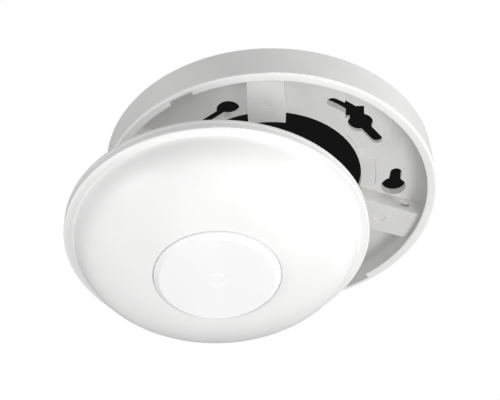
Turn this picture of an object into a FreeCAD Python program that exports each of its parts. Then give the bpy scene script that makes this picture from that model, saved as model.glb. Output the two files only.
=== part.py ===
"""Ceiling motion sensor: a ring-shaped mounting base and a round bayonet head with a lens disc.

The frame's origin is the centre of the base's ceiling face and +Z points up into the ceiling.
The head is modelled in its own frame (origin at the centre of the lens rim, +Z to the ceiling)
and then moved to its unlocked place, below the base and a little to one side.
"""
import FreeCAD, Part
import math
import os

V = FreeCAD.Vector
ORIGIN = V(0, 0, 0)
UP = V(0, 0, 1)

# Mounting base
BASE_R_LIP = 57.15
BASE_R_BACK = 55.6
BASE_HEIGHT = 13.8
WALL = 1.45
FLANGE_R = 53.7
FLANGE_THICK = 1.2
FLOOR_LOW = -6.3
FLOOR_TOP = -3.7
WIRE_HOLE_R = 31.4
BLOCK_WIDTH = 13.0
BLOCK_LOW = -11.7
BLOCK_WALL = 1.6
BLOCK_INNER_R = 32.0
HOOKED_BLOCK_AZIMUTH = 23.0
BLOCK_AZIMUTHS = (-91.0, HOOKED_BLOCK_AZIMUTH)
RIB_AZIMUTHS = (-140.0, -104.0, -70.0, -14.0)
RIB_THICK = 1.5
CLAMP_RING_R = 48.7
SCREW_SLOT = 4.0
KEYHOLES = (
    (4.0, (-13.5, -32.95), (-23.5, -24.6)),
    (4.2, (42.4, 6.2), (43.3, -0.5)),
)
ARC_SLOT_R = 41.5
ARC_SLOT_SPAN = (-58.5, -44.0)
ARC_ENTRY = (31.1, -24.0)
ARC_ENTRY_R = 4.3
ARC_TAIL_END = (36.6, -15.9)
PAD_DEPTH = 1.3
NOTCH_AZIMUTH = -122.5
NOTCH_SPAN = 10.0
WINDOW_HIGH = -8.0

# Head, in its own frame
LENS_FACE_R = 19.5
LENS_RIM_R = 21.2
LENS_RECESS_R = 21.8
LENS_PROUD = 2.0
LENS_NECK_R = 20.8
LENS_OPENING_R = 20.9
LENS_RINGS = 7
CREASE_R = 48.3
CREASE_Z = 17.6
RIM_R = 51.5
RIM_Z = 18.3
SKIRT_R = 51.25
SKIRT_INNER_R = 49.7
HEAD_BACK = 22.84
NEST_DEPTH = 2.0
HOOK_INNER_R = 46.5
HOOK_OUTER_R = 48.5
HOOK_HEIGHT = 3.4
HOOK_FOOT_THICK = 1.3
HOOK_SPAN = 3.0
HOOK_GAP = 0.1
TWIST = 15.0
CHASSIS_LOW = 19.7
CHASSIS_HIGH = 21.2
CHASSIS_R = 49.5
BOARD_R = 41.5
BOARD_LOW = 11.0
BOARD_HIGH = 12.6
BOSS_RING_R = 45.2
BOSS_AZIMUTHS = (30.0, 150.0, -60.0)
STANDOFF_RING_R = 36.0
STANDOFF_AZIMUTHS = (78.0, -150.0, -30.0)
TAMPER_R = 38.0
TAMPER_AZIMUTH = -105.0
TERMINAL_COUNT = 8
TERMINAL_PITCH = 5.08
TERMINAL_Y = 10.5
TERMINAL_HIGH = 24.4
DIP_CENTRE = (-12.0, -14.0)
TRIMMER_CENTRE = (11.0, -14.0)

# Place of the head's own origin when it hangs unlocked
HEAD_PLACE = V(-18.3, -6.5, -BASE_HEIGHT - 44.0)


def polar(radius, azimuth, z=0.0):
    angle = math.radians(azimuth)
    return V(radius * math.cos(angle), radius * math.sin(angle), z)


def turned(shape, azimuth):
    copy = shape.copy()
    copy.rotate(ORIGIN, UP, azimuth)
    return copy


def twin(shape):
    """The shape and its copy half a turn away."""
    return [shape, turned(shape, 180.0)]


def cylinder(radius, z0, z1, x=0.0, y=0.0):
    return Part.makeCylinder(radius, z1 - z0, V(x, y, z0))


def ring(outer, inner, z0, z1, x=0.0, y=0.0):
    return cylinder(outer, z0, z1, x, y).cut(cylinder(inner, z0 - 1, z1 + 1, x, y))


def block(x0, x1, y0, y1, z0, z1):
    return Part.makeBox(x1 - x0, y1 - y0, z1 - z0, V(x0, y0, z0))


def wire_with_rounds(corners, plane="XZ"):
    """A closed wire through (u, v, rounding) corners; a rounding above zero is a tangent arc."""
    def point(u, v):
        return V(u, 0, v) if plane == "XZ" else V(u, v, 0)

    ends = []
    arcs = []
    for i, (u, v, radius) in enumerate(corners):
        here = point(u, v)
        if radius == 0:
            ends.append((here, here))
            arcs.append(None)
            continue
        back = point(*corners[i - 1][:2]) - here
        ahead = point(*corners[(i + 1) % len(corners)][:2]) - here
        half = back.getAngle(ahead) / 2
        back.normalize()
        ahead.normalize()
        reach = radius / math.tan(half)
        middle = back + ahead
        middle.normalize()
        nearest = here + middle * (radius / math.sin(half) - radius)
        ends.append((here + back * reach, here + ahead * reach))
        arcs.append(Part.Arc(ends[-1][0], nearest, ends[-1][1]).toShape())
    edges = []
    for i, (start, end) in enumerate(ends):
        if arcs[i] is not None:
            edges.append(arcs[i])
        following = ends[(i + 1) % len(ends)][0]
        if end.distanceToPoint(following) > 1e-6:
            edges.append(Part.makeLine(end, following))
    return Part.Wire(edges)


def revolved(corners, span=360.0):
    return Part.Face(wire_with_rounds(corners)).revolve(ORIGIN, UP, span)


def sector(corners, azimuth, span):
    """A revolved profile that spans an angle centred on an azimuth."""
    return turned(revolved(corners, span), azimuth - span / 2)


def spline(points):
    curve = Part.BSplineCurve()
    curve.interpolate([V(r, 0, z) for r, z in points])
    return curve.toShape()


def polyline(points):
    places = [V(r, 0, z) for r, z in points]
    return [Part.makeLine(a, b) for a, b in zip(places, places[1:])]


def wall_outer_r(z):
    return BASE_R_BACK + (BASE_R_LIP - BASE_R_BACK) * -z / BASE_HEIGHT


def base_dish():
    """The wall, the turned-in lip flange and the floor with its wire hole, as one revolve."""
    flange_high = -BASE_HEIGHT + FLANGE_THICK
    return revolved([
        (BASE_R_BACK, 0, 0.4),
        (BASE_R_LIP, -BASE_HEIGHT, 0.8),
        (FLANGE_R, -BASE_HEIGHT, 0.3),
        (FLANGE_R, flange_high, 0.2),
        (wall_outer_r(flange_high) - WALL, flange_high, 0.3),
        (wall_outer_r(FLOOR_LOW) - WALL, FLOOR_LOW, 1.0),
        (WIRE_HOLE_R, FLOOR_LOW, 0),
        (WIRE_HOLE_R, FLOOR_TOP, 0),
        (wall_outer_r(FLOOR_TOP) - WALL, FLOOR_TOP, 0.5),
        (BASE_R_BACK - WALL, 0, 0),
    ])


def seat_block():
    """A radial block the head seats on: drafted sides, cored out from behind, dimpled in front."""
    half_root = BLOCK_WIDTH / 2
    half_crest = half_root - 0.25
    outline = Part.makePolygon([
        V(0, -half_root, FLOOR_LOW + 0.3),
        V(0, half_root, FLOOR_LOW + 0.3),
        V(0, half_crest, BLOCK_LOW),
        V(0, -half_crest, BLOCK_LOW),
        V(0, -half_root, FLOOR_LOW + 0.3),
    ])
    bar = Part.Face(outline).extrude(V(BASE_R_LIP, 0, 0))
    bar = bar.common(ring(wall_outer_r(FLOOR_LOW) - 0.4, BLOCK_INNER_R, BLOCK_LOW - 1, FLOOR_TOP))
    dimple = cylinder(2.0, BLOCK_LOW - 1, BLOCK_LOW + 0.25, 41.0)
    return bar.cut(dimple)


def seat_block_core():
    half = BLOCK_WIDTH / 2 - BLOCK_WALL
    return block(BLOCK_INNER_R + 1.6, 52.6, -half, half, BLOCK_LOW + 1.5, FLOOR_TOP + 1)


def hook_window():
    """The opening in a hollow block's side wall that a hook's foot turns into."""
    side = BLOCK_WIDTH / 2
    foot_low = -BASE_HEIGHT + NEST_DEPTH + HOOK_HEIGHT - HOOK_FOOT_THICK
    return block(HOOK_INNER_R - 0.8, HOOK_OUTER_R + 0.8, -side - 1, -side + BLOCK_WALL + 0.5,
                 foot_low - HOOK_GAP, WINDOW_HIGH)


def straight_slot(start, end):
    """A through slot with round ends between two (x, y) places in the floor."""
    z0, z1 = FLOOR_LOW - 1, FLOOR_TOP + 1
    half = SCREW_SLOT / 2
    run = V(end[0] - start[0], end[1] - start[1], 0)
    slot = block(0, run.Length, -half, half, z0, z1)
    slot = slot.fuse([cylinder(half, z0, z1), cylinder(half, z0, z1, run.Length)])
    slot.rotate(ORIGIN, UP, math.degrees(math.atan2(run.y, run.x)))
    slot.translate(V(start[0], start[1], 0))
    return slot


def keyhole(radius, entry, slot_end):
    """A round entry for the screw's head and a slot for its shank."""
    return straight_slot(entry, slot_end).fuse(
        cylinder(radius, FLOOR_LOW - 1, FLOOR_TOP + 1, *entry))


def arc_slot():
    """A curved adjustment slot that meets a round entry, a square relief and a straight tail."""
    z0, z1 = FLOOR_LOW - 1, FLOOR_TOP + 1
    half = SCREW_SLOT / 2
    start, end = ARC_SLOT_SPAN
    profile = [(ARC_SLOT_R - half, z0, 0), (ARC_SLOT_R + half, z0, 0),
               (ARC_SLOT_R + half, z1, 0), (ARC_SLOT_R - half, z1, 0)]
    tip = polar(ARC_SLOT_R, start)
    x, y = ARC_ENTRY
    return sector(profile, (start + end) / 2, end - start).fuse([
        cylinder(half, z0, z1, tip.x, tip.y),
        cylinder(ARC_ENTRY_R, z0, z1, x, y),
        block(x - 5.0, x + 1.3, y - 8.0, y - 2.3, z0, z1),
        straight_slot(ARC_ENTRY, ARC_TAIL_END),
    ])


def slot_pad():
    """The shallow U-shaped pad round the slot's entry: steep on one side, sloping at its end."""
    outline = wire_with_rounds([
        (25.8, -42.0, 0),
        (25.8, -7.2, 8.0),
        (45.0, -7.2, 9.4),
        (45.0, -36.0, 0),
    ], plane="XY")
    outline.translate(V(0, 0, FLOOR_LOW))
    inner = wire_with_rounds([
        (26.1, -42.0, 0),
        (26.1, -11.8, 6.0),
        (41.4, -11.8, 7.0),
        (41.4, -36.0, 0),
    ], plane="XY")
    inner.translate(V(0, 0, FLOOR_LOW + PAD_DEPTH))
    below = outline.copy()
    below.translate(V(0, 0, -1))
    pad = Part.makeLoft([outline, inner], True, True)
    pad = pad.fuse(Part.makeLoft([below, outline], True, True))
    return pad.common(ring(52.2, WIRE_HOLE_R + 1.2, FLOOR_LOW - 1, FLOOR_TOP))


def floor_step():
    """A fine concentric line moulded in the floor between the pad and the next block."""
    return sector([(36.0, FLOOR_LOW - 1, 0), (36.5, FLOOR_LOW - 1, 0),
                   (36.5, FLOOR_LOW + 0.3, 0), (36.0, FLOOR_LOW + 0.3, 0)], -1.5, 19.0)


def lip_notch():
    """A gap in the lip flange where a tool's blade reaches the head's edge."""
    flange_high = -BASE_HEIGHT + FLANGE_THICK
    reach = wall_outer_r(flange_high) - WALL
    return sector([
        (FLANGE_R - 1, flange_high + 0.1, 0),
        (reach, flange_high + 0.1, 0),
        (reach, -BASE_HEIGHT - 0.1, 0),
        (FLANGE_R - 1, -BASE_HEIGHT - 0.1, 0),
    ], NOTCH_AZIMUTH, NOTCH_SPAN)


def mounting_base():
    shape = base_dish()
    added = [ring(CLAMP_RING_R + RIB_THICK / 2, CLAMP_RING_R - RIB_THICK / 2, FLOOR_TOP - 0.5, 0)]
    for azimuth in BLOCK_AZIMUTHS:
        added += twin(turned(seat_block(), azimuth))
    rib = block(WIRE_HOLE_R + 1.0, 54.6, -RIB_THICK / 2, RIB_THICK / 2, FLOOR_TOP - 0.5, 0)
    for azimuth in RIB_AZIMUTHS:
        added += twin(turned(rib, azimuth))
    shape = shape.fuse(added)
    removed = twin(arc_slot()) + twin(slot_pad()) + twin(lip_notch())
    for azimuth in BLOCK_AZIMUTHS:
        removed += twin(turned(seat_block_core(), azimuth))
    removed += twin(turned(hook_window(), HOOKED_BLOCK_AZIMUTH))
    for radius, entry, slot_end in KEYHOLES:
        removed += twin(keyhole(radius, entry, slot_end))
    pin_mark = cylinder(0.9, FLOOR_LOW - 1, FLOOR_LOW + 0.6, 42.4, -24.6)
    removed += twin(pin_mark) + twin(floor_step())
    return shape.cut(removed).removeSplitter()


def dome_curve(outside):
    """The head's saucer profile, from the lens opening out to the crease under the rim."""
    if outside:
        return [(LENS_RECESS_R, 0.02), (32.0, 2.2), (39.0, 5.3), (44.0, 8.9),
                (46.8, 12.9), (CREASE_R, CREASE_Z)]
    return [(46.3, 17.9), (44.9, 13.9), (42.6, 10.8), (38.0, 7.4), (31.4, 4.3), (23.4, 2.4)]


def cover_skin():
    outer = dome_curve(True)
    inner = dome_curve(False)
    edges = [spline(outer)]
    edges += polyline([outer[-1], (CREASE_R + 0.25, RIM_Z - 0.1), (RIM_R - 0.6, RIM_Z)])
    edges.append(Part.Arc(V(RIM_R - 0.6, 0, RIM_Z), V(RIM_R - 0.16, 0, RIM_Z + 0.2),
                          V(RIM_R, 0, RIM_Z + 0.65)).toShape())
    edges += polyline([(RIM_R, RIM_Z + 0.65), (SKIRT_R + 0.12, 21.05), (SKIRT_R - 0.25, 21.25),
                       (SKIRT_R + 0.1, 21.45), (SKIRT_R, HEAD_BACK - 0.3),
                       (SKIRT_R - 0.3, HEAD_BACK), (SKIRT_INNER_R, HEAD_BACK),
                       (SKIRT_INNER_R, CHASSIS_LOW - 0.1), (46.9, CHASSIS_LOW - 0.1), inner[0]])
    edges.append(spline(inner))
    edges += polyline([inner[-1], (LENS_OPENING_R, 2.2), (LENS_OPENING_R, 0.5),
                       (LENS_RECESS_R, 0.5), outer[0]])
    return Part.Face(Part.Wire(edges)).revolve(ORIGIN, UP, 360)


def cover_solid_outline():
    """The space inside the head's outer surface, for trimming what is fused to the shell."""
    outer = dome_curve(True)
    edges = [spline(outer)]
    edges += polyline([outer[-1], (CREASE_R, HEAD_BACK), (0, HEAD_BACK), (0, 0.02), outer[0]])
    return Part.Face(Part.Wire(edges)).revolve(ORIGIN, UP, 360)


def cover_shell():
    shape = cover_skin()
    bosses = []
    pilots = []
    for azimuth in BOSS_AZIMUTHS:
        place = polar(BOSS_RING_R, azimuth)
        bosses.append(cylinder(2.2, 10.0, CHASSIS_LOW, place.x, place.y))
        pilots.append(cylinder(1.1, 14.0, CHASSIS_LOW + 1, place.x, place.y))
    posts = bosses[0].fuse(bosses[1:]).common(cover_solid_outline())
    index_mark = turned(block(SKIRT_R - 0.3, RIM_R + 0.12, -0.45, 0.45, RIM_Z + 0.75, 20.6), -90.0)
    shape = shape.fuse([posts, index_mark])
    return shape.cut(pilots).removeSplitter()


def lens():
    """A bevelled disc with a neck; the face is thin and carries concentric lens steps inside."""
    skin = 1.2
    corners = [
        (0, -LENS_PROUD, 0),
        (2.5, -LENS_PROUD, 0),
        (2.75, -LENS_PROUD + 0.12, 0),
        (3.0, -LENS_PROUD, 0),
        (LENS_FACE_R, -LENS_PROUD, 0.4),
        (LENS_RIM_R, -0.3, 0.15),
        (LENS_RIM_R, 0.4, 0),
        (LENS_NECK_R, 0.4, 0),
        (LENS_NECK_R, 4.2, 0),
        (LENS_NECK_R - 1.3, 4.2, 0),
        (LENS_NECK_R - 1.3, -0.2, 0),
    ]
    step = (LENS_FACE_R - 1.6) / LENS_RINGS
    for i in range(LENS_RINGS):
        outer = LENS_FACE_R - 1.6 - i * step
        corners.append((outer, -LENS_PROUD + skin, 0))
        corners.append((outer - step * 0.9, -LENS_PROUD + skin + 0.35, 0))
    corners.append((0, -LENS_PROUD + skin, 0))
    return revolved(corners)


def lens_retainer():
    """The snap ring on the lens neck behind the cover."""
    return revolved([
        (LENS_NECK_R, 2.75, 0),
        (23.8, 2.75, 0.3),
        (23.8, 3.7, 0.3),
        (LENS_NECK_R, 4.0, 0),
    ])


def circuit_board():
    shape = cylinder(BOARD_R, BOARD_LOW, BOARD_HIGH)
    mouse_bites = [cylinder(2.4, BOARD_LOW - 1, BOARD_HIGH + 1, *polar(BOARD_R, a)[:2])
                   for a in BOSS_AZIMUTHS]
    return shape.cut(mouse_bites)


def bayonet_hook():
    """A post on the chassis with a foot that turns into a base block's side window."""
    top = HEAD_BACK + HOOK_HEIGHT
    side = math.degrees(math.asin(BLOCK_WIDTH / 2 / HOOK_INNER_R))
    front = HOOKED_BLOCK_AZIMUTH - side - 0.5 - TWIST
    post = [(HOOK_INNER_R, CHASSIS_LOW + 0.4, 0), (HOOK_OUTER_R, CHASSIS_LOW + 0.4, 0),
            (HOOK_OUTER_R, top, 0.3), (HOOK_INNER_R, top, 0.3)]
    foot_low = top - HOOK_FOOT_THICK
    foot = [(HOOK_INNER_R, foot_low, 0), (HOOK_OUTER_R, foot_low, 0),
            (HOOK_OUTER_R, top, 0.3), (HOOK_INNER_R, top, 0.3)]
    shape = sector(post, front - HOOK_SPAN / 2, HOOK_SPAN)
    return shape.fuse(sector(foot, front + HOOK_SPAN / 2 - 0.2, HOOK_SPAN + 0.4))


def rear_chassis():
    """The plate that closes the head, with hooks, windows, a plunger guide and standoffs."""
    rim = ring(CHASSIS_R, CHASSIS_R - 1.4, CHASSIS_LOW, HEAD_BACK - 0.4)
    shape = cylinder(CHASSIS_R, CHASSIS_LOW, CHASSIS_HIGH).fuse(rim)
    guide = polar(TAMPER_R, TAMPER_AZIMUTH)
    added = [cylinder(3.0, CHASSIS_LOW, CHASSIS_HIGH + 0.6, guide.x, guide.y)]
    for azimuth in STANDOFF_AZIMUTHS:
        place = polar(STANDOFF_RING_R, azimuth)
        added.append(cylinder(2.0, BOARD_HIGH, CHASSIS_LOW + 0.2, place.x, place.y))
    for radius in (30.0, 42.0):
        added.append(ring(radius + 0.6, radius - 0.6, CHASSIS_HIGH - 0.2, CHASSIS_HIGH + 0.7))
    added += twin(bayonet_hook())
    for step in range(12):
        rib = block(30.4, CHASSIS_R - 1.0, -0.6, 0.6, CHASSIS_HIGH - 0.2, CHASSIS_HIGH + 0.7)
        added.append(turned(rib, 15.0 + 30.0 * step))
    shape = shape.fuse(added)
    half = TERMINAL_COUNT * TERMINAL_PITCH / 2 + 0.4
    removed = [
        block(-half, half, TERMINAL_Y - 5.4, TERMINAL_Y + 5.4, CHASSIS_LOW - 1, HEAD_BACK),
        block(-18.6, -5.4, -18.6, -9.4, CHASSIS_LOW - 1, HEAD_BACK),
        cylinder(4.2, CHASSIS_LOW - 1, HEAD_BACK, *TRIMMER_CENTRE),
        cylinder(1.83, CHASSIS_LOW - 1, HEAD_BACK + 1, guide.x, guide.y),
    ]
    for azimuth in BOSS_AZIMUTHS:
        place = polar(BOSS_RING_R, azimuth)
        removed.append(cylinder(1.6, CHASSIS_LOW - 1, HEAD_BACK, place.x, place.y))
        removed.append(cylinder(2.75, CHASSIS_HIGH, HEAD_BACK + 1, place.x, place.y))
    return shape.cut(removed).removeSplitter()


def chassis_screws():
    """Pan-head screws through the chassis into the cover's bosses."""
    screws = []
    for azimuth in BOSS_AZIMUTHS:
        place = polar(BOSS_RING_R, azimuth)
        screw = revolved([(0, 14.5, 0), (1.05, 14.5, 0), (1.05, CHASSIS_HIGH, 0),
                          (2.5, CHASSIS_HIGH, 0), (2.5, CHASSIS_HIGH + 1.3, 0.5),
                          (0, CHASSIS_HIGH + 1.3, 0)])
        for angle in (0.0, 90.0):
            recess = block(-1.5, 1.5, -0.25, 0.25, CHASSIS_HIGH + 0.6, CHASSIS_HIGH + 2)
            screw = screw.cut(turned(recess, angle))
        screw.translate(place)
        screws.append(screw)
    return Part.makeCompound(screws)


def pyro_can():
    return revolved([(0, 6.6, 0), (4.1, 6.6, 0.5), (4.1, 10.3, 0), (4.6, 10.3, 0),
                     (4.6, BOARD_LOW, 0), (0, BOARD_LOW, 0)])


def pyro_window():
    return block(-2.3, 2.3, -1.7, 1.7, 6.4, 6.6)


def pyro_shroud():
    """The light shield round the detector, flared towards the lens."""
    return revolved([(4.75, BOARD_LOW, 0), (4.75, 9.0, 0), (7.6, 4.6, 0), (8.6, 4.6, 0),
                     (6.2, 9.0, 0), (6.2, BOARD_LOW, 0)])


def status_led():
    shape = revolved([(0, 6.2, 0), (1.5, 6.2, 1.4), (1.5, 10.2, 0), (1.9, 10.2, 0),
                      (1.9, BOARD_LOW, 0), (0, BOARD_LOW, 0)])
    shape.translate(V(13.0, 0, 0))
    return shape


def terminal_xs():
    first = -(TERMINAL_COUNT - 1) * TERMINAL_PITCH / 2
    return [first + i * TERMINAL_PITCH for i in range(TERMINAL_COUNT)]


def terminal_block():
    """A row of wire clamps: screw wells on top and a wire mouth in the side of each way."""
    half = TERMINAL_COUNT * TERMINAL_PITCH / 2
    shape = block(-half, half, TERMINAL_Y - 5, TERMINAL_Y + 5, BOARD_HIGH, TERMINAL_HIGH)
    removed = []
    for x in terminal_xs():
        removed.append(cylinder(2.0, TERMINAL_HIGH - 3.4, TERMINAL_HIGH + 1, x, TERMINAL_Y - 1.2))
        removed.append(block(x - 1.6, x + 1.6, TERMINAL_Y + 1.6, TERMINAL_Y + 6,
                             CHASSIS_HIGH - 0.6, CHASSIS_HIGH + 2.2))
        removed.append(block(x + TERMINAL_PITCH / 2 - 0.2, x + TERMINAL_PITCH / 2 + 0.2,
                             TERMINAL_Y - 6, TERMINAL_Y + 6, TERMINAL_HIGH - 1.0, TERMINAL_HIGH + 1))
    return shape.cut(removed)


def terminal_screws():
    screws = []
    for x in terminal_xs():
        screw = cylinder(1.9, TERMINAL_HIGH - 3.4, TERMINAL_HIGH - 1.3, x, TERMINAL_Y - 1.2)
        slot = block(x - 2, x + 2, TERMINAL_Y - 1.5, TERMINAL_Y - 0.9,
                     TERMINAL_HIGH - 2.1, TERMINAL_HIGH)
        screws.append(screw.cut(slot))
    return Part.makeCompound(screws)


def relay():
    shape = block(20.0, 34.0, -12.0, -3.0, BOARD_HIGH, 18.4)
    edges = [e for e in shape.Edges if abs(e.CenterOfMass.z - 18.4) < 1e-3 or e.Length < 5.9]
    return shape.makeChamfer(0.4, edges)


def control_chip():
    """A surface-mounted controller: a drafted body and two rows of legs."""
    x, y = -27.5, -3.0
    shape = block(x - 2.0, x + 2.0, y - 5.0, y + 5.0, BOARD_HIGH + 0.15, BOARD_HIGH + 1.75)
    legs = []
    for i in range(8):
        leg_y = y - 4.45 + i * 1.27
        legs.append(block(x - 3.0, x + 3.0, leg_y - 0.2, leg_y + 0.2,
                          BOARD_HIGH, BOARD_HIGH + 0.7))
    return shape.fuse(legs).cut(cylinder(0.5, BOARD_HIGH + 1.55, BOARD_HIGH + 2, x - 1.2, y - 4.1))


def capacitors():
    """Two upright electrolytic cans with a pressed waist."""
    cans = []
    for place in (V(-29.0, 9.0, 0), V(29.0, 9.0, 0)):
        can = revolved([(0, BOARD_HIGH, 0), (3.1, BOARD_HIGH, 0), (3.1, 13.9, 0),
                        (2.85, 14.2, 0), (3.1, 14.5, 0), (3.1, 18.6, 0.4), (0, 18.6, 0)])
        can.translate(place)
        cans.append(can)
    return Part.makeCompound(cans)


def dip_xs():
    return [DIP_CENTRE[0] - 2.0, DIP_CENTRE[0] + 2.0]


def dip_body():
    """A two-way slide switch block; each well runs front to back."""
    x, y = DIP_CENTRE
    shape = block(x - 5.0, x + 5.0, y - 3.6, y + 3.6, BOARD_HIGH, 16.6)
    wells = [block(sx - 1.1, sx + 1.1, y - 2.2, y + 2.2, 15.2, 17.6) for sx in dip_xs()]
    return shape.cut(wells)


def dip_slider(index):
    sx = dip_xs()[index]
    y = DIP_CENTRE[1]
    foot = block(sx - 1.05, sx + 1.05, y - 2.15, y + 0.45, 15.25, 16.3)
    tab = block(sx - 0.7, sx + 0.7, y - 1.55, y - 0.15, 16.2, 17.5)
    return foot.fuse(tab)


def trimmer_body():
    x, y = TRIMMER_CENTRE
    shape = block(x - 4.0, x + 4.0, y - 4.0, y + 4.0, BOARD_HIGH, 16.4)
    return shape.cut(cylinder(3.0, 14.4, 17.0, x, y))


def trimmer_rotor():
    """The sensitivity adjuster: a round rotor with a cross slot and a pointer notch."""
    x, y = TRIMMER_CENTRE
    shape = cylinder(2.94, 14.45, 17.2, x, y)
    removed = [block(x - 2.0, x + 2.0, y - 0.4, y + 0.4, 16.2, 18.0),
               block(x - 0.4, x + 0.4, y - 2.0, y + 2.0, 16.2, 18.0),
               block(x - 0.3, x + 0.3, y + 2.0, y + 4.0, 16.6, 18.0)]
    return shape.cut(removed)


def at_tamper(shape):
    shape.translate(polar(TAMPER_R, TAMPER_AZIMUTH))
    return shape


def tamper_body():
    shape = block(-3.5, 3.5, -3.5, 3.5, BOARD_HIGH, 15.0)
    return at_tamper(shape.cut(cylinder(1.1, 12.8, 16.0)))


def tamper_plunger():
    """The removal-alarm plunger: a pin below, a collar for the spring and a domed tip."""
    return at_tamper(revolved([
        (0, 14.8, 0), (1.0, 14.8, 0), (1.0, 18.2, 0), (2.7, 18.2, 0), (2.7, 19.4, 0),
        (1.75, 19.4, 0), (1.75, HEAD_BACK - 0.09, 0.8), (0, HEAD_BACK - 0.09, 0),
    ]))


def tamper_spring():
    """A short compression spring between the switch and the plunger's collar."""
    wire_r = 0.3
    path = Part.makeHelix(1.1, 2.5, 1.75)
    section = Part.Wire(Part.makeCircle(wire_r, V(1.75, 0, 0), V(0, 1, 0)))
    coil = Part.Wire(path.Edges).makePipeShell([section], True, True)
    coil.translate(V(0, 0, 15.35))
    return at_tamper(coil)


BASE_NODES = {
    "mounting_base": mounting_base,
}
HEAD_NODES = {
    "cover_shell": cover_shell,
    "lens": lens,
    "lens_retainer": lens_retainer,
    "rear_chassis": rear_chassis,
    "chassis_screws": chassis_screws,
    "circuit_board": circuit_board,
    "pyro_can": pyro_can,
    "pyro_window": pyro_window,
    "pyro_shroud": pyro_shroud,
    "status_led": status_led,
    "terminal_block": terminal_block,
    "terminal_screws": terminal_screws,
    "relay": relay,
    "control_chip": control_chip,
    "capacitors": capacitors,
    "dip_body": dip_body,
    "dip_slider_1": lambda: dip_slider(0),
    "dip_slider_2": lambda: dip_slider(1),
    "trimmer_body": trimmer_body,
    "trimmer_rotor": trimmer_rotor,
    "tamper_body": tamper_body,
    "tamper_plunger": tamper_plunger,
    "tamper_spring": tamper_spring,
}


def export(name, shape):
    print(name, "valid", shape.isValid(), "solids", len(shape.Solids), "mm3", round(shape.Volume, 1))
    shape.exportStep("parts/" + name + ".step")


os.makedirs("parts", exist_ok=True)
for name, make in BASE_NODES.items():
    export(name, make())
for name, make in HEAD_NODES.items():
    shape = make()
    shape.translate(HEAD_PLACE)
    export(name, shape)
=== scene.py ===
# %% [markdown]
# ## A ceiling motion sensor, opened
# The round head hangs unlocked below its shallow base. The imported model is loaded first,
# because every size and place below is read from it or repeats its design. Lengths are in
# metres, and +Z points up into the ceiling. The box of the design is kept, because the lamps
# and the dark disc are placed by it.

# %% Load the frame
import math

import bmesh
import bpy
import numpy as np
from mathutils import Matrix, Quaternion, Vector


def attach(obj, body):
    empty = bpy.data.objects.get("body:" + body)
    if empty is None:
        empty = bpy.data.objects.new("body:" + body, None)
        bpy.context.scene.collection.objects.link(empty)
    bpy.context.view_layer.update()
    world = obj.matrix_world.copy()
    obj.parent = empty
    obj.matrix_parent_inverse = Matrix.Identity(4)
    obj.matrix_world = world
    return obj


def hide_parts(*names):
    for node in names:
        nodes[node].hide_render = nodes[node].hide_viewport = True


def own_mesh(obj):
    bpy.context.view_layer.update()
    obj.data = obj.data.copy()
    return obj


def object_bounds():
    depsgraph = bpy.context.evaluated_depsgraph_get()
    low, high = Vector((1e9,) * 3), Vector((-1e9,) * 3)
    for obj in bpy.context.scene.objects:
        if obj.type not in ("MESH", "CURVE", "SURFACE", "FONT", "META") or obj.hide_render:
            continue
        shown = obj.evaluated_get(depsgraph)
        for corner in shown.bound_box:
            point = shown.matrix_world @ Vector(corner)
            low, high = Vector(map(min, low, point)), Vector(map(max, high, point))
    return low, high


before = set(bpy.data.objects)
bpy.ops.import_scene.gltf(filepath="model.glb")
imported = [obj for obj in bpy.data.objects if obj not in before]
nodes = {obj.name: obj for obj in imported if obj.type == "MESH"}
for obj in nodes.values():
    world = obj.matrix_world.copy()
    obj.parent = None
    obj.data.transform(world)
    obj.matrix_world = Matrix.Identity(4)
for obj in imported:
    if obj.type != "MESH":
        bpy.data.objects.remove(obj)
cad_low, cad_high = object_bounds()
MM = 0.001
print("design box, mm:", [round(v / MM, 1) for v in (*cad_low, *cad_high)])

# %% [markdown]
# ## Two ways to get a mesh
# A moulded shell is already exact in the design, but its triangles come in loose, so each
# would shade as a flat facet. Modelling it again would only risk a different shape. A copy
# with its points joined is better: it shades as one smooth skin and keeps a crisp line
# wherever two faces meet at an angle.

# %% Joining and shading
CRISP_ANGLE = math.radians(12.0)
JOIN_DISTANCE = 1e-6


def add_object(name, data):
    """Puts a new object that shows the data into the scene."""
    thing = bpy.data.objects.new(name, data)
    bpy.context.scene.collection.objects.link(thing)
    return thing


def joined(mesh):
    """An editable copy of the mesh, with points that lie together merged."""
    work = bmesh.new()
    work.from_mesh(mesh)
    bmesh.ops.remove_doubles(work, verts=work.verts, dist=JOIN_DISTANCE)
    return work


def join_points(mesh, outward=False):
    """Merges points that lie together; outward also turns every face to the outside."""
    work = joined(mesh)
    if outward:
        bmesh.ops.recalc_face_normals(work, faces=work.faces)
    work.to_mesh(mesh)
    work.free()


def stand_in(piece, body, node):
    """Shades a piece, splits the shading at crisp edges, and puts it in a node's place."""
    piece.data.shade_smooth()
    piece.data.set_sharp_from_angle(angle=CRISP_ANGLE)
    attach(piece, body)
    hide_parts(node)
    print(piece.name, "points", len(piece.data.vertices), "faces", len(piece.data.polygons))
    return piece


print("crisp above", round(math.degrees(CRISP_ANGLE)), "degrees")

# %% [markdown]
# The design's mesh carries its own stored normals, one for each loose corner. They would
# win over smooth shading and leave star-shaped streaks, so the copy drops them first.

# %% A smooth copy of a design node
def smooth_copy(node, name, body):
    """Stands a joined copy of the node's mesh in for the node, on the same body."""
    piece = add_object(name, nodes[node].data.copy())
    stored_normals = piece.data.attributes.get("custom_normal")
    if stored_normals is not None:
        piece.data.attributes.remove(stored_normals)
    join_points(piece.data)
    return stand_in(piece, body, node)


print("design nodes to choose from:", len(nodes))

# %% [markdown]
# The other way is a surface worked out as arrays: a place in space for every pair of
# numbers on a grid. A screw is two such surfaces. Its head is a function of radius and
# angle, so a cross or a slot is just a dip in the height. Its thread is a function of
# height and angle. The grid closes on itself because the last column of faces returns to
# the first column of points.

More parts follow.
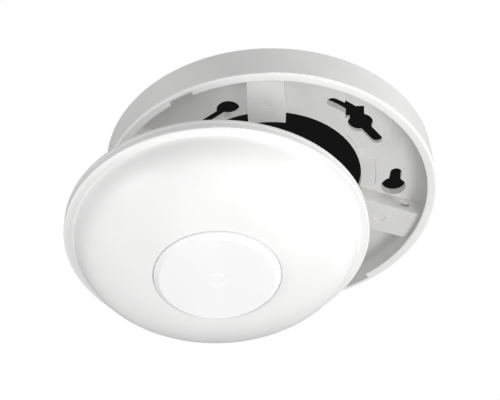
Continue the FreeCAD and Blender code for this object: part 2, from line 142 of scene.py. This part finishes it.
# %% A piece from grids of points
def closed_grid(points):
    """Flat list of points and quads for a (rows, columns, 3) grid that closes in columns."""
    rows, columns = points.shape[:2]
    i, j = np.meshgrid(np.arange(rows - 1), np.arange(columns), indexing="ij")
    following = (j + 1) % columns
    quads = np.stack([i * columns + j, i * columns + following,
                      (i + 1) * columns + following, (i + 1) * columns + j], axis=-1)
    return points.reshape(-1, 3), quads.reshape(-1, 4)


def piece_from_grids(name, grids, body, node):
    """One mesh from several closed grids, its poles and seams joined, in place of a node."""
    all_points, all_quads, count = [], [], 0
    for grid in grids:
        points, quads = closed_grid(grid)
        all_points.append(points)
        all_quads.append(quads + count)
        count += len(points)
    mesh = bpy.data.meshes.new(name)
    mesh.from_pydata(np.concatenate(all_points).tolist(), [],
                     np.concatenate(all_quads).tolist())
    join_points(mesh, outward=True)
    return stand_in(add_object(name, mesh), body, node)


print("a 3 x 4 grid closes with", len(closed_grid(np.zeros((3, 4, 3)))[1]), "faces")

# %% [markdown]
# ## Small tools for materials
# A material is a tree of nodes, and the same few steps come back in every tree: feed a
# value in, map one range to another, take some noise, mix two colours. Each step is a
# short function here, so that the recipes further down read like recipes.

# %% Node tools
def feed(tree, socket, value):
    """Links a node's output to a socket, or writes a plain value in the socket."""
    if isinstance(value, bpy.types.NodeSocket):
        tree.links.new(value, socket)
    else:
        socket.default_value = value


def map_range(tree, value, source, target=(0.0, 1.0)):
    """Maps a value from the source range to the target range, and stops at its ends."""
    node = tree.nodes.new("ShaderNodeMapRange")
    ends = ("From Min", "From Max", "To Min", "To Max")
    for end, number in zip(ends, (*source, *target)):
        node.inputs[end].default_value = number
    tree.links.new(value, node.inputs["Value"])
    return node.outputs["Result"]


def noise(tree, coordinates, scale, detail, rough=0.5):
    """Soft noise from 0 to 1 at a scale in lumps per metre."""
    node = tree.nodes.new("ShaderNodeTexNoise")
    feed(tree, node.inputs["Scale"], scale)
    node.inputs["Detail"].default_value = detail
    node.inputs["Roughness"].default_value = rough
    tree.links.new(coordinates, node.inputs["Vector"])
    return node.outputs["Fac"]


def blend_colours(tree, mask, first, second, way="MIX"):
    """Goes from the first colour to the second by a mask; MULTIPLY tints the first."""
    node = tree.nodes.new("ShaderNodeMix")
    node.data_type = "RGBA"
    node.blend_type = way
    tree.links.new(mask, node.inputs["Factor"])
    feed(tree, node.inputs["A"], first)
    feed(tree, node.inputs["B"], second)
    return node.outputs["Result"]


def new_group(name, inputs, outputs):
    """An empty shader node group with its sockets, and its input and output nodes."""
    group = bpy.data.node_groups.new(name, "ShaderNodeTree")
    for label, kind, value in inputs:
        socket = group.interface.new_socket(label, in_out="INPUT", socket_type=kind)
        socket.default_value = value
    for label, kind in outputs:
        group.interface.new_socket(label, in_out="OUTPUT", socket_type=kind)
    return group, group.nodes.new("NodeGroupInput"), group.nodes.new("NodeGroupOutput")


print("node tools ready")

# %% [markdown]
# ## The grain of moulded plastic
# Moulded plastic is never one flat colour. A spark-eroded mould leaves a fine grain, and
# the melt leaves broad faint clouds of tone. An image could show that, but it would need a
# flat layout of the surface. Noise in space needs none. It is a node group, so each
# plastic can use it at its own scale and depth.

# %% Node group: moulded grain
NOISE_LIVES = (0.3, 0.7)
FINE_GRAIN = 2200.0
CLOUD_SCALE = 38.0
SPECK_SCALE = 900.0


def moulded_grain():
    """Coordinates and a grain scale in; a height, a cloud mask and a speck mask out."""
    group, given, result = new_group(
        "moulded_grain",
        [("Coordinates", "NodeSocketVector", (0, 0, 0)),
         ("Grain scale", "NodeSocketFloat", FINE_GRAIN)],
        [("Height", "NodeSocketFloat"), ("Clouds", "NodeSocketFloat"),
         ("Specks", "NodeSocketFloat")])
    place = given.outputs["Coordinates"]
    patterns = {
        "Height": noise(group, place, given.outputs["Grain scale"], detail=3.0),
        "Clouds": noise(group, place, CLOUD_SCALE, detail=3.0, rough=0.55),
        "Specks": noise(group, place, SPECK_SCALE, detail=1.0),
    }
    for label, pattern in patterns.items():
        group.links.new(map_range(group, pattern, NOISE_LIVES), result.inputs[label])
    return group


GRAIN = moulded_grain()
print(GRAIN.name, "nodes:", len(GRAIN.nodes))

# %% [markdown]
# ## Painted highlights on edges
# The outer edges of a part are painted a little lighter than its faces, as a painted
# highlight where edges catch the light. A Bevel node rounds the normal near an edge without
# touching the mesh. Where the rounded normal and the true one disagree, there is an edge,
# and the more they disagree the sharper it is.

# %% Node group: painted edge highlight
EDGE_RADIUS = 0.4 * MM
EDGE_SAMPLES = 4
AGREEMENT = (0.98, 0.80)


def painted_edge_highlight():
    """A mask for the painted edge highlight: it goes to 1 as the dot product of the two
    normals falls.
    """
    group, given, result = new_group(
        "painted_edge_highlight", [("Radius", "NodeSocketFloat", EDGE_RADIUS)],
        [("Mask", "NodeSocketFloat")])
    bevel = group.nodes.new("ShaderNodeBevel")
    bevel.samples = EDGE_SAMPLES
    group.links.new(given.outputs["Radius"], bevel.inputs["Radius"])
    geometry = group.nodes.new("ShaderNodeNewGeometry")
    dot = group.nodes.new("ShaderNodeVectorMath")
    dot.operation = "DOT_PRODUCT"
    group.links.new(bevel.outputs["Normal"], dot.inputs[0])
    group.links.new(geometry.outputs["Normal"], dot.inputs[1])
    mask = map_range(group, dot.outputs["Value"], AGREEMENT)
    group.links.new(mask, result.inputs["Mask"])
    return group


EDGE_HIGHLIGHT_GROUP = painted_edge_highlight()
print(EDGE_HIGHLIGHT_GROUP.name, "nodes:", len(EDGE_HIGHLIGHT_GROUP.nodes))

# %% [markdown]
# ## One recipe for plastics and metals
# The Principled shader does the physics, and the two groups feed it. Clouds blend a darker
# and a lighter tone, specks move the roughness between two values, the grain goes into a
# very shallow bump, and the edges get a painted highlight, a tone above the light one.
# Object coordinates stay with the piece when it moves, so the grain never slides over it.

# %% A maker for finishes
GRAIN_DEPTH = 0.05 * MM
# painted highlight: the edge tone is the light tone raised by these two numbers
EDGE_HIGHLIGHT_GAIN = 1.06
EDGE_HIGHLIGHT_LIFT = 0.01


def finish(name, dark, light, rough, grain_scale=FINE_GRAIN, bump=0.05, metal=0.0, coat=0.0):
    """A Principled material: clouded base colour, grain in the bump, painted highlight on the
    edges.

    dark and light are the two ends of the cloud colours, rough the two ends of roughness.
    """
    material = bpy.data.materials.new(name)
    material.use_nodes = True
    tree = material.node_tree
    shader = tree.nodes["Principled BSDF"]
    shader.inputs["Metallic"].default_value = metal
    shader.inputs["Coat Weight"].default_value = coat
    coordinates = tree.nodes.new("ShaderNodeTexCoord")
    grain = tree.nodes.new("ShaderNodeGroup")
    grain.node_tree = GRAIN
    grain.inputs["Grain scale"].default_value = grain_scale
    tree.links.new(coordinates.outputs["Object"], grain.inputs["Coordinates"])
    edges = tree.nodes.new("ShaderNodeGroup")
    edges.node_tree = EDGE_HIGHLIGHT_GROUP
    edges.inputs["Radius"].default_value = EDGE_RADIUS
    clouded = blend_colours(tree, grain.outputs["Clouds"], (*dark, 1.0), (*light, 1.0))
    # painted highlight: edges get a tone above the light one
    edge_highlight_colour = [min(1.0, c * EDGE_HIGHLIGHT_GAIN + EDGE_HIGHLIGHT_LIFT) for c in light]
    colour = blend_colours(tree, edges.outputs["Mask"], clouded, (*edge_highlight_colour, 1.0))
    tree.links.new(colour, shader.inputs["Base Color"])
    roughness = map_range(tree, grain.outputs["Specks"], (0.0, 1.0), rough)
    tree.links.new(roughness, shader.inputs["Roughness"])
    relief = tree.nodes.new("ShaderNodeBump")
    relief.inputs["Strength"].default_value = bump
    relief.inputs["Distance"].default_value = GRAIN_DEPTH
    tree.links.new(grain.outputs["Height"], relief.inputs["Height"])
    tree.links.new(relief.outputs["Normal"], shader.inputs["Normal"])
    return material


def dress(piece, material):
    """Puts one material in all of a piece's slots."""
    if not piece.data.materials:
        piece.data.materials.append(material)
    for i in range(len(piece.data.materials)):
        piece.data.materials[i] = material


print("grain depth", round(GRAIN_DEPTH / MM, 2), "mm")

# %% [markdown]
# ## Four whites
# White parts from four moulds never match. The lens disc is the brightest, because it is
# thin and milky so that heat rays pass. The cover is close to it. The base is a little
# greyer and rougher, and the chassis, which nobody sees, is the greyest.

# %% The white plastics
COVER_WHITE = finish("cover_white", (0.86, 0.86, 0.855), (0.90, 0.90, 0.895), (0.38, 0.50),
                     grain_scale=3200.0, bump=0.10)
LENS_WHITE = finish("lens_white", (0.91, 0.91, 0.91), (0.94, 0.94, 0.94), (0.42, 0.52),
                    grain_scale=2600.0, bump=0.06)
BASE_WHITE = finish("base_white", (0.84, 0.84, 0.835), (0.90, 0.90, 0.89), (0.40, 0.55),
                    grain_scale=2400.0, bump=0.12)
CHASSIS_WHITE = finish("chassis_white", (0.68, 0.68, 0.66), (0.76, 0.76, 0.73), (0.48, 0.62),
                       grain_scale=1800.0, bump=0.15)
print("whites:", [m.name for m in (COVER_WHITE, LENS_WHITE, BASE_WHITE, CHASSIS_WHITE)])

# %% [markdown]
# ## Painted shade inside the base
# The floor inside the base lies in the shade of its walls and of the head, so its colour
# is made a little greyer there: this is painted shade. The change follows the form: a point
# is inside when it is nearer the axis than the lip's edge and higher than the back of the
# lip. Object coordinates give both distances, so the zone stays put when the part moves.

# %% Painted shade inside the base
# painted shade: this tint darkens the floor inside the base, where the walls and the head
# shade it
INSIDE_PAINTED_SHADE = (0.87, 0.865, 0.86, 1.0)
LIP_INNER_R = 54.6 * MM
LIP_BACK_Z = -12.9 * MM
ZONE_BLUR = 0.4 * MM


def paint_inside_shade(material, radius, height):
    """Multiplies the base colour by a painted shade where the radius is small and the point is
    high.

    mask = falling(sqrt(x^2 + y^2), radius) * rising(z, height), each over the zone's blur.
    """
    tree = material.node_tree
    shader = tree.nodes["Principled BSDF"]
    colour = shader.inputs["Base Color"].links[0].from_socket
    coordinates = tree.nodes.new("ShaderNodeTexCoord")
    parts = tree.nodes.new("ShaderNodeSeparateXYZ")
    tree.links.new(coordinates.outputs["Object"], parts.inputs["Vector"])
    flat = tree.nodes.new("ShaderNodeCombineXYZ")
    for axis in "XY":
        tree.links.new(parts.outputs[axis], flat.inputs[axis])
    reach = tree.nodes.new("ShaderNodeVectorMath")
    reach.operation = "LENGTH"
    tree.links.new(flat.outputs["Vector"], reach.inputs[0])
    near = map_range(tree, reach.outputs["Value"], (radius + ZONE_BLUR, radius))
    behind = map_range(tree, parts.outputs["Z"], (height, height + ZONE_BLUR))
    mask = tree.nodes.new("ShaderNodeMath")
    mask.operation = "MULTIPLY"
    tree.links.new(near, mask.inputs[0])
    tree.links.new(behind, mask.inputs[1])
    # painted shade: inside the zone the colour is multiplied by the tint
    painted_shade_colour = blend_colours(tree, mask.outputs["Value"], colour, INSIDE_PAINTED_SHADE, "MULTIPLY")
    tree.links.new(painted_shade_colour, shader.inputs["Base Color"])


paint_inside_shade(BASE_WHITE, LIP_INNER_R, LIP_BACK_Z)
print("inside zone: radius under", round(LIP_INNER_R / MM, 1), "mm")

# %% [markdown]
# ## The four white mouldings
# The base, the cover, the lens disc and the chassis are injection moulded. Their forms come
# from the design, so each is a smooth copy, dressed in its own white.

# %% White mouldings
MOULDINGS = (
    ("mounting_base", "base_moulding", "base", BASE_WHITE, "base_plastic"),
    ("cover_shell", "cover_moulding", "head", COVER_WHITE, "cover_plastic"),
    ("lens", "lens_disc", "lens_unit", LENS_WHITE, "lens_plastic"),
    ("rear_chassis", "chassis_moulding", "head", CHASSIS_WHITE, "chassis_plastic"),
)
for node, name, body, material, slot in MOULDINGS:
    dress(smooth_copy(node, name, body), material)

# %% [markdown]
# ## Screws with real heads and threads
# The plate is held by three pan-head screws, and eight clamp screws sit in the terminal
# block. In the design each is a plain stand-in. A head is a height over a disc: a low dome
# with a cross or a slot pressed in. Cutting the cross out with booleans would work too,
# but a dip in a formula leaves an even grid of faces.

# %% The surface of a screw's head
TURN_STEPS = 72
HEAD_RINGS = 22


def full_turn():
    """One turn as a row of angles, without the last, which would repeat the first."""
    return np.linspace(0.0, 2.0 * np.pi, TURN_STEPS, endpoint=False)[None, :]


def pressed_head(radius, low, high, dome, slots, slot_half, slot_reach, depth):
    """A round head as a grid: flat foot, side wall, then a domed top with slots pressed in.

    Over the top, height = high - dome (r / R)^2 - depth inside a slot. A point is inside
    when it is nearer than slot_half to a slot's line and nearer than slot_reach to the middle.
    """
    angle = full_turn()
    r = radius * np.linspace(1.0, 0.0, HEAD_RINGS)[:, None]
    x, y = r * np.cos(angle), r * np.sin(angle)
    inside = np.zeros_like(x)
    for turn in slots:
        across = np.abs(y * np.cos(turn) - x * np.sin(turn))
        along = np.abs(x * np.cos(turn) + y * np.sin(turn))
        inside = np.maximum(inside, (across < slot_half) & (along < slot_reach))
    top = np.stack([x, y, high - dome * (r / radius) ** 2 + 0 * x - depth * inside], axis=-1)
    foot = np.stack([x[:1], y[:1], np.full_like(x[:1], low)], axis=-1)
    under = np.stack([0 * x[:1], 0 * x[:1], np.full_like(x[:1], low)], axis=-1)
    return np.concatenate([under, foot, top])


print("points in a head:", TURN_STEPS * (HEAD_RINGS + 2))

# %% [markdown]
# A shank is a radius over height and angle. A ridge that climbs by one pitch for each turn
# of the angle is the thread, and the radius shrinks near the low end to make the tip.

# %% The surface of a screw's shank
ROWS_PER_TURN = 8
TIP_TURNS = 1.5
TIP_SHARE = 0.25


def threaded_shank(radius, low, high, pitch, depth):
    """A shank as a grid of height and angle whose radius carries one helical ridge.

    radius(z, a) = R - depth * |2 frac(z / pitch - a / 2 pi) - 1|, narrowed to the tip.
    """
    z = np.linspace(low, high, int((high - low) / pitch * ROWS_PER_TURN))[:, None]
    angle = full_turn()
    phase = np.mod(z / pitch - angle / (2.0 * np.pi), 1.0)
    tip = np.clip((z - low) / (TIP_TURNS * pitch), TIP_SHARE, 1.0)
    r = (radius - depth * np.abs(2.0 * phase - 1.0)) * tip
    side = np.stack([r * np.cos(angle), r * np.sin(angle), z + 0 * r], axis=-1)
    cap_low = side[:1] * (0, 0, 1)
    cap_high = side[-1:] * (0, 0, 1)
    return np.concatenate([cap_low, side, cap_high])


print("rows of points for each pitch:", ROWS_PER_TURN)

# %% [markdown]
# Each screw's place is read from the design. All screws of one kind are a single node, so
# its mesh is walked from point to point along the edges until nothing more can be reached:
# that is one screw. The walk starts anywhere, so the screws come out in any order, and they
# are sorted by place to get the same scene on every run.

# %% Where the screws sit
PLACE_DIGITS = 5


def island_boxes(node):
    """The lowest and highest corner of each separate solid in a node, sorted by place."""
    work = joined(nodes[node].data)
    left = set(work.verts)
    boxes = []
    while left:
        reached = [left.pop()]
        for vert in reached:
            fresh = [edge.other_vert(vert) for edge in vert.link_edges]
            fresh = [v for v in fresh if v in left]
            left.difference_update(fresh)
            reached.extend(fresh)
        places = np.array([v.co[:] for v in reached])
        boxes.append((places.min(axis=0), places.max(axis=0)))
    work.free()
    return sorted(boxes, key=lambda box: tuple(np.round(box[0], PLACE_DIGITS)))


def axis_of(low, high):
    """The middle of a box seen from above, at height 0."""
    return np.array([(low[0] + high[0]) / 2, (low[1] + high[1]) / 2, 0.0])


plate_boxes = island_boxes("chassis_screws")
clamp_boxes = island_boxes("terminal_screws")
print("plate screws:", len(plate_boxes), "clamp screws:", len(clamp_boxes))

# %% [markdown]
# The plate screws have a cross, which a driver bit centres in by itself, and a coarse
# thread for plastic. The clamp screws have one slot and stop at their heads, because the
# block hides the rest. Their slots point different ways, as they do once wires are clamped.

# %% The screws
PLATE_HEAD_R = 2.5 * MM
PLATE_HEAD_THICK = 1.3 * MM
CROSS_TURN = 0.3
PLATE_CROSS = dict(dome=0.45 * MM, slots=(CROSS_TURN, CROSS_TURN + math.pi / 2),
                   slot_half=0.30 * MM, slot_reach=1.5 * MM, depth=0.75 * MM)
PLATE_THREAD = dict(radius=1.05 * MM, pitch=0.8 * MM, depth=0.28 * MM)
CLAMP_TURN = 0.5
CLAMP_SLOT = dict(dome=0.2 * MM, slot_half=0.3 * MM, slot_reach=3.0 * MM, depth=0.8 * MM)

grids = []
for low, high in plate_boxes:
    seat = high[2] - PLATE_HEAD_THICK
    centre = axis_of(low, high)
    grids.append(centre + pressed_head(PLATE_HEAD_R, seat, high[2], **PLATE_CROSS))
    grids.append(centre + threaded_shank(low=low[2], high=seat, **PLATE_THREAD))
plate_screws = piece_from_grids("plate_screws", grids, "head", "chassis_screws")

grids = []
for index, (low, high) in enumerate(clamp_boxes):
    head = pressed_head((high[0] - low[0]) / 2, low[2], high[2],
                        slots=(CLAMP_TURN * index,), **CLAMP_SLOT)
    grids.append(axis_of(low, high) + head)
clamp_screws = piece_from_grids("clamp_screws", grids, "head", "terminal_screws")

# %% [markdown]
# ## The plunger's spring
# The removal switch has a small coil spring under its plunger. When the plunger is pressed,
# the spring's top comes down with it and its foot stays on the switch. Here the spring is a
# smooth copy of the design's spring on the head, with a mesh of its own.

# %% The plunger's spring
spring = smooth_copy("tamper_spring", "plunger_spring", "head")
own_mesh(spring)

# %% [markdown]
# ## Steel
# Plated screws and spring wire are drawn and rolled metal: fully metallic, grey rather than
# mirror bright, with a very fine grain that blurs what they reflect.

# %% Steel for the screws and the spring
STEEL = finish("bright_steel", (0.40, 0.40, 0.39), (0.58, 0.57, 0.55), (0.30, 0.48),
               metal=1.0, grain_scale=5000.0, bump=0.2)
for piece in (plate_screws, clamp_screws, spring):
    dress(piece, STEEL)
print("steel pieces: 3")

# %% [markdown]
# ## The small parts
# Behind the cover are the parts that do the work: the detector in its tin can with a dark
# window, the board with its relay, chip and capacitors, the green terminal block, the red
# option switch and the blue adjuster. Their design surfaces are already right, so each
# keeps its mesh and gets a finish from one table: glossy for the resins and the varnished
# board, dull for the black plastics, metal for the can.

# %% Finishes for the small parts
SMALL_FINISHES = {
    "chassis_plastic": (("lens_retainer",), dict(
        dark=(0.66, 0.66, 0.64), light=(0.74, 0.74, 0.71), rough=(0.48, 0.62))),
    "tin_can": (("pyro_can",), dict(
        dark=(0.60, 0.59, 0.56), light=(0.74, 0.73, 0.70), rough=(0.20, 0.34),
        metal=1.0, grain_scale=4200.0, bump=0.12)),
    "dark_window": (("pyro_window",), dict(
        dark=(0.02, 0.015, 0.03), light=(0.05, 0.04, 0.07), rough=(0.05, 0.12),
        coat=0.6, grain_scale=900.0, bump=0.02)),
    "black_plastic": (("pyro_shroud", "control_chip", "tamper_body"), dict(
        dark=(0.015, 0.015, 0.016), light=(0.04, 0.04, 0.042), rough=(0.45, 0.60),
        grain_scale=3800.0, bump=0.2)),
    "board_laminate": (("circuit_board",), dict(
        dark=(0.012, 0.10, 0.045), light=(0.02, 0.17, 0.075), rough=(0.22, 0.34),
        coat=0.4, grain_scale=1400.0, bump=0.1)),
    "terminal_green": (("terminal_block",), dict(
        dark=(0.015, 0.17, 0.07), light=(0.03, 0.25, 0.11), rough=(0.34, 0.46),
        grain_scale=2600.0, bump=0.1)),
    "relay_plastic": (("relay",), dict(
        dark=(0.02, 0.05, 0.16), light=(0.04, 0.09, 0.25), rough=(0.26, 0.38),
        grain_scale=2200.0, bump=0.06)),
    "capacitor_sleeve": (("capacitors",), dict(
        dark=(0.015, 0.018, 0.04), light=(0.03, 0.035, 0.07), rough=(0.25, 0.36),
        grain_scale=1500.0, bump=0.05)),
    "led_resin": (("status_led",), dict(
        dark=(0.45, 0.01, 0.008), light=(0.65, 0.03, 0.02), rough=(0.08, 0.16),
        coat=0.5, grain_scale=700.0, bump=0.02)),
    "switch_red": (("dip_body",), dict(
        dark=(0.36, 0.012, 0.012), light=(0.48, 0.025, 0.02), rough=(0.34, 0.46),
        grain_scale=2600.0, bump=0.08)),
    "slider_white": (("dip_slider_1", "dip_slider_2", "trimmer_rotor", "tamper_plunger"), dict(
        dark=(0.74, 0.74, 0.70), light=(0.84, 0.84, 0.80), rough=(0.36, 0.50),
        grain_scale=3000.0, bump=0.08)),
    "trimmer_blue": (("trimmer_body",), dict(
        dark=(0.015, 0.06, 0.24), light=(0.03, 0.10, 0.34), rough=(0.32, 0.44),
        grain_scale=2600.0, bump=0.08)),
}
for name, (members, look) in SMALL_FINISHES.items():
    material = finish(name, **look)
    for member in members:
        dress(nodes[member], material)
print("small finishes:", len(SMALL_FINISHES))

# %% [markdown]
# ## The camera
# The object is seen from below and in front, as someone looking up at a ceiling sees it.
# A short lens close by would swell the head and shrink the base behind it. This camera
# stands far off with a long lens instead, so circles stay almost true ellipses. It is also
# rolled by about one degree, because a camera in the hand is never quite level.

# %% Camera
CAMERA_PLACE = Vector((-6.83, -1237.0, -1186.75)) * MM
CAMERA_ELEVATION = math.radians(43.39)
CAMERA_ROLL = math.radians(1.2)
CAMERA_LENS = 360.0
CAMERA_CLIP = (0.01, 100.0)
camera_data = bpy.data.cameras.new("camera")
camera_data.lens = CAMERA_LENS
camera_data.clip_start, camera_data.clip_end = CAMERA_CLIP
camera = add_object("camera", camera_data)
sight = Vector((0.0, math.cos(CAMERA_ELEVATION), math.sin(CAMERA_ELEVATION)))
camera.rotation_mode = "QUATERNION"
camera.rotation_quaternion = Quaternion(sight, CAMERA_ROLL) @ sight.to_track_quat("-Z", "Y")
camera.location = CAMERA_PLACE
bpy.context.scene.camera = camera
print("camera stands off", round(CAMERA_PLACE.length, 2), "m")

# %% [markdown]
# ## The floor
# A pale sheet of paper lies far below. It is big enough to have no edge in any view, and
# it throws light back up at the dome.

# %% Floor
FLOOR_Z = -2.6
FLOOR_HALF = 30.0


def flat_stage(name, corners, material):
    """A flat face through the corners, as a new object with the material."""
    mesh = bpy.data.meshes.new(name)
    mesh.from_pydata(corners, [], [tuple(range(len(corners)))])
    sheet = add_object(name, mesh)
    mesh.materials.append(material)
    return sheet


paper = finish("floor_paper", (0.86, 0.86, 0.86), (0.90, 0.90, 0.90), (0.7, 0.85),
               grain_scale=60.0, bump=0.02)
square = ((-1, -1), (1, -1), (1, 1), (-1, 1))
flat_stage("floor", [(FLOOR_HALF * x, FLOOR_HALF * y, FLOOR_Z) for x, y in square], paper)
print("floor is", 2 * FLOOR_HALF, "m wide")

# %% [markdown]
# ## The dark space above the base
# On a ceiling, the wire hole and the keyholes look into the unlit inside of a box. A dark
# disc just above the base is painted shade that stands for it. Its lower side gives off a
# little grey of its own, so no lamp can brighten it. Its upper side is clear, so the ceiling
# side of the base can be looked at, and it neither shades the object nor shows in its
# reflections.

# %% Ceiling void
# painted shade: the dark tone stands for the unlit inside of a box above the base
VOID_PAINTED_SHADE = (0.0075, 0.0075, 0.0075, 1.0)
VOID_R = 54.5 * MM
VOID_GAP = 0.3 * MM
VOID_CORNERS = 96


def painted_shade_from_below(name, tone):
    """A painted shade: a material that gives off a tone on its front side and is clear from
    the back.
    """
    material = bpy.data.materials.new(name)
    material.use_nodes = True
    tree = material.node_tree
    tree.nodes.remove(tree.nodes["Principled BSDF"])
    dark = tree.nodes.new("ShaderNodeEmission")
    dark.inputs["Color"].default_value = tone
    clear = tree.nodes.new("ShaderNodeBsdfTransparent")
    side = tree.nodes.new("ShaderNodeNewGeometry")
    choose = tree.nodes.new("ShaderNodeMixShader")
    tree.links.new(side.outputs["Backfacing"], choose.inputs["Fac"])
    tree.links.new(dark.outputs["Emission"], choose.inputs[1])
    tree.links.new(clear.outputs["BSDF"], choose.inputs[2])
    tree.links.new(choose.outputs["Shader"], tree.nodes["Material Output"].inputs["Surface"])
    return material


void_z = cad_high.z + VOID_GAP
rim = [(VOID_R * math.cos(a), VOID_R * math.sin(a), void_z)
       for a in np.linspace(0, -2 * np.pi, VOID_CORNERS, endpoint=False)]
void = flat_stage("ceiling_void", rim, painted_shade_from_below("ceiling_void", VOID_PAINTED_SHADE))
void.visible_diffuse = False
void.visible_glossy = False
void.visible_transmission = False
void.visible_shadow = False
print("void disc radius", round(VOID_R / MM, 1), "mm")

# %% [markdown]
# ## Lamps
# White plastic on a white ground needs soft light from several sides, or one side of the
# dome goes grey. Four broad lamps do it: a key from below right, one on each side and a
# weak one in front. A wide sun from overhead lights the pale floor, and it shows the
# ceiling side of the base in other views. Powers are in watts.

# %% Lights
AIM = (cad_low + cad_high) / 2
LAMPS = {
    "key_below_right": ((0.62, -0.12, -0.80), 3.8),
    "side_right": ((1.0, -0.3, -0.1), 5.8),
    "side_left": ((-0.85, -0.35, -0.45), 3.9),
    "front": ((0.0, -0.75, -0.75), 1.4),
}
LAMP_SIZE = 0.5
SUN_STRENGTH = 1.2
SUN_SPREAD = 0.6


def area_light(name, place, aim, size, power):
    """A round soft lamp at a place, turned to face the aim."""
    data = bpy.data.lights.new(name, "AREA")
    data.shape = "DISK"
    data.size = size
    data.energy = power
    lamp = add_object(name, data)
    lamp.location = place
    lamp.rotation_mode = "QUATERNION"
    lamp.rotation_quaternion = (Vector(aim) - Vector(place)).to_track_quat("-Z", "Y")


for name, (offset, power) in LAMPS.items():
    area_light(name, AIM + Vector(offset), AIM, LAMP_SIZE, power)
sun = bpy.data.lights.new("overhead", "SUN")
sun.energy = SUN_STRENGTH
sun.angle = SUN_SPREAD
add_object("overhead", sun)
print("lamps:", ", ".join(LAMPS), "and an overhead sun")

# %% [markdown]
# ## The surround
# The world has two jobs that need different values. As light, it fills the shadows weakly.
# As a background, it is plain white. A Light Path node tells which one is being asked for.
# The Standard view keeps whites white, where a film-like view would grey them.

# %% World
FILL_STRENGTH = 0.15
SHOWN_STRENGTH = 1.0
WHITE = (1.0, 1.0, 1.0, 1.0)
world = bpy.data.worlds.new("surround")
bpy.context.scene.world = world
world.use_nodes = True
sky = world.node_tree
fill = sky.nodes["Background"]
shown = sky.nodes.new("ShaderNodeBackground")
for background, strength in ((fill, FILL_STRENGTH), (shown, SHOWN_STRENGTH)):
    background.inputs["Color"].default_value = WHITE
    background.inputs["Strength"].default_value = strength
ray = sky.nodes.new("ShaderNodeLightPath")
pick = sky.nodes.new("ShaderNodeMixShader")
sky.links.new(ray.outputs["Is Camera Ray"], pick.inputs["Fac"])
sky.links.new(fill.outputs["Background"], pick.inputs[1])
sky.links.new(shown.outputs["Background"], pick.inputs[2])
sky.links.new(pick.outputs["Shader"], sky.nodes["World Output"].inputs["Surface"])
bpy.context.scene.view_settings.view_transform = "Standard"
print("surround lights at", FILL_STRENGTH, "and shows at", SHOWN_STRENGTH)
